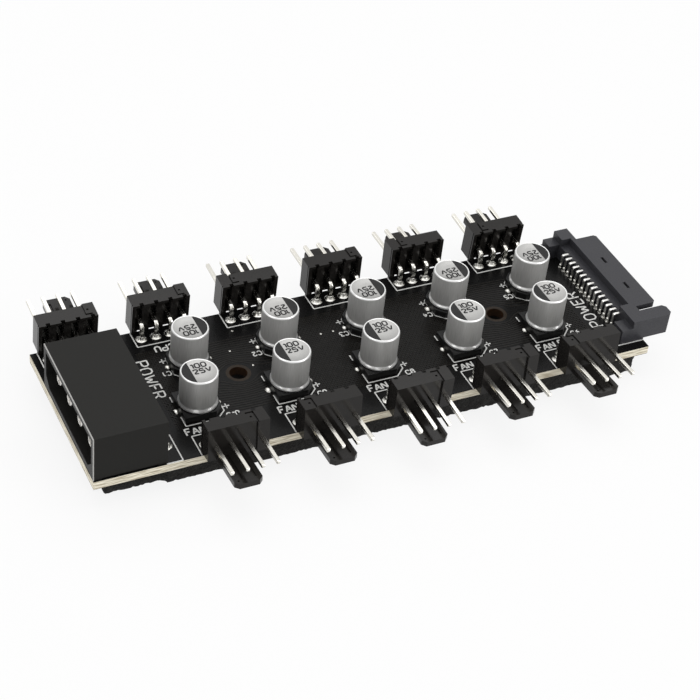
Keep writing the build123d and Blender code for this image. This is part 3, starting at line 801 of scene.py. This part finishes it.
can_profile = [
    (0, 1.02), (2.95, 1.02), (3.05, 1.3), (3.16, 1.34), (3.25, 1.42), (3.29, 1.54), (3.27, 1.68), (3.2, 1.82),
    (3.11, 1.95), (3.06, 2.05), (3.05, 2.15), (3.07, 2.3), (3.1, 2.6), (3.12, 7.3), (3.1, 7.47), (3.05, 7.59),
    (2.98, 7.67), (2.92, 7.7), (2.87, 7.68), (2.83, 7.63), (1.3, can_face), (0, can_face),
]
can_shape = turned_mesh("can_shape", can_profile, 64)
uv = can_shape.uv_layers.new(name="UVMap")
for face in can_shape.polygons:
    corners = [can_shape.vertices[v].co / mm for v in face.vertices]
    angles = [math.atan2(corner.y, corner.x) / math.tau for corner in corners]
    wraps = max(angles) - min(angles) > 0.5
    for loop, corner, angle in zip(face.loop_indices, corners, angles):
        inward = can_radius - math.hypot(corner.x, corner.y) if corner.z > can_shoulder else 0
        uv.data[loop].uv = (angle + 1 if wraps and angle < 0 else angle, (corner.z + inward) / 10)
for number, (x, y) in enumerate(front_cans + back_cans, start=1):
    can_mesh = can_shape.copy()
    can_mesh.transform(Matrix.Translation(Vector((x, y, board_level)) * mm))
    add_piece(f"capacitor_body_{number}", can_mesh, can_metal, "can_metal", f"capacitor_can_{number}")

print_black = plastic("print_black", (0.010, 0.010, 0.010), (0.026, 0.026, 0.026), 0.6, 0.08 * mm, 0.004 * mm)
mark_level = board_level + can_face
mark_height = 0.03
segment_radius = 2.82
segment_edge = 1.25
segment_steps = 24
half_angle = math.acos(segment_edge / segment_radius)
arc = [math.pi - half_angle + 2 * half_angle * i / segment_steps for i in range(segment_steps + 1)]
shape = bmesh.new()
for facing, cans in can_rows:
    for x, y in cans:
        rim = [
            (x + facing * segment_radius * math.cos(a), y + facing * segment_radius * math.sin(a))
            for a in arc
        ]
        top = [shape.verts.new((u * mm, v * mm, (mark_level + mark_height) * mm)) for u, v in rim]
        low = [shape.verts.new((u * mm, v * mm, (mark_level - mark_height) * mm)) for u, v in rim]
        shape.faces.new(top)
        shape.faces.new(low[::-1])
        for i in range(len(rim)):
            j = (i + 1) % len(rim)
            shape.faces.new((low[i], low[j], top[j], top[i]))
bmesh.ops.recalc_face_normals(shape, faces=shape.faces)
segment_mesh = bpy.data.meshes.new("polarity_marks")
shape.to_mesh(segment_mesh)
shape.free()
add_piece("polarity_marks", segment_mesh, print_black, "base_plastic")
ratings = []
for facing, cans in can_rows:
    turn = 0 if facing > 0 else 180
    for x, y in cans:
        for words, up in (("100", 0.85), ("25V", -0.52)):
            ratings += written(words, x - facing * 1.0, y + facing * up, 1.0, turn, wide=1.25, gap=0.32)
rating_mesh = strips(
    "rating_print", ratings, mark_level * mm, 0.24 * mm, 2 * mark_height * mm, ink_corner, print_black
)
add_piece("rating_print", rating_mesh, print_black, "base_plastic")

base_black = plastic("base_black", (0.005, 0.005, 0.005), (0.012, 0.012, 0.012), 0.35, 0.1 * mm, 0.006 * mm)
lead_tin = metal("lead_tin", (0.78, 0.77, 0.74), 0.25, 0.12 * mm, 0.004 * mm)
for number in range(1, len(front_cans + back_cans) + 1):
    base_mesh = finished_mesh(merged_copy(f"capacitor_base_{number}"), soft_edges(0.08 * mm))
    add_piece(f"capacitor_plate_{number}", base_mesh, base_black, "base_plastic", f"capacitor_base_{number}")
leads_mesh = finished_mesh(merged_copy("capacitor_leads"), soft_edges(0.04 * mm))
add_piece("capacitor_tabs", leads_mesh, lead_tin, "contact_metal", "capacitor_leads")


# Power header: a matt black moulded box that lies on the board, open to the left. The edge of its mouth is
# painted pale as a highlight, and four hollow tinned pins stand inside.
mouth_edge, top_edge, front_edge = -50.2 * mm, 13.95 * mm, -15.6 * mm
power_black, power_tree, power_shader, power_place = new_finish(
    "power_black", (0.015, 0.015, 0.014), 0.42, gloss=0.1
)
power_grain = grain(power_tree, power_place, 0.08 * mm)
power_axes = add_node(power_tree, "ShaderNodeSeparateXYZ", {0: power_place}).outputs
at_mouth = maths(power_tree, "LESS_THAN", power_axes["X"], mouth_edge)
at_top = maths(power_tree, "GREATER_THAN", power_axes["Z"], top_edge)
at_front = maths(power_tree, "LESS_THAN", power_axes["Y"], front_edge)
on_edge = maths(power_tree, "MULTIPLY", at_mouth, maths(power_tree, "MAXIMUM", at_top, at_front))
# Painted highlight: the top and front edges of the mouth are painted pale grey, as the light on its rounded
# lip.
mouth_highlight = maths(power_tree, "MULTIPLY", on_edge, between(power_tree, power_grain, 0.5, 1.0))
power_dark = between(power_tree, power_grain, (0.009, 0.0088, 0.008), (0.017, 0.0165, 0.015))
power_colour = between(power_tree, mouth_highlight, power_dark, (0.55, 0.54, 0.52))
power_tree.links.new(power_colour, power_shader.inputs["Base Color"])
dent(power_tree, power_shader, power_grain, 0.005 * mm)
power_mesh = finished_mesh(merged_copy("power_header"), soft_edges(0.16 * mm, 3))
add_piece("power_header_shell", power_mesh, power_black, "power_header_plastic", "power_header")
power_tin = metal("power_tin", (0.80, 0.78, 0.74), 0.24, 0.2 * mm, 0.004 * mm, (8, 1, 1))
power_pins_mesh = finished_mesh(merged_copy("power_header_pins"), soft_edges(0.05 * mm))
power_pins_mesh.shade_smooth()
add_piece("power_header_contacts", power_pins_mesh, power_tin, "contact_metal", "power_header_pins")


# Power plug: a dark slate-grey moulded bar with a tongue and a key arm. Its contacts are bright stamped
# strips, bent down on to the board in one row.
plug_slate = plastic(
    "plug_slate", (0.018, 0.018, 0.022), (0.054, 0.054, 0.060), 0.34, 0.22 * mm, 0.009 * mm, gloss=0.25
)
plug_mesh = finished_mesh(merged_copy("power_plug"), soft_edges(0.1 * mm))
add_piece("power_plug_body", plug_mesh, plug_slate, "plug_plastic", "power_plug")
strip_tin = metal("strip_tin", (0.86, 0.85, 0.82), 0.34, 0.1 * mm, 0.003 * mm)
strips_mesh = finished_mesh(merged_copy("power_plug_contacts"), soft_edges(0.05 * mm))
add_piece("power_plug_strips", strips_mesh, strip_tin, "contact_metal", "power_plug_contacts")

size = {"cad": [list(corner) for corner in cad_box], "visual": [list(corner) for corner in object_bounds()]}
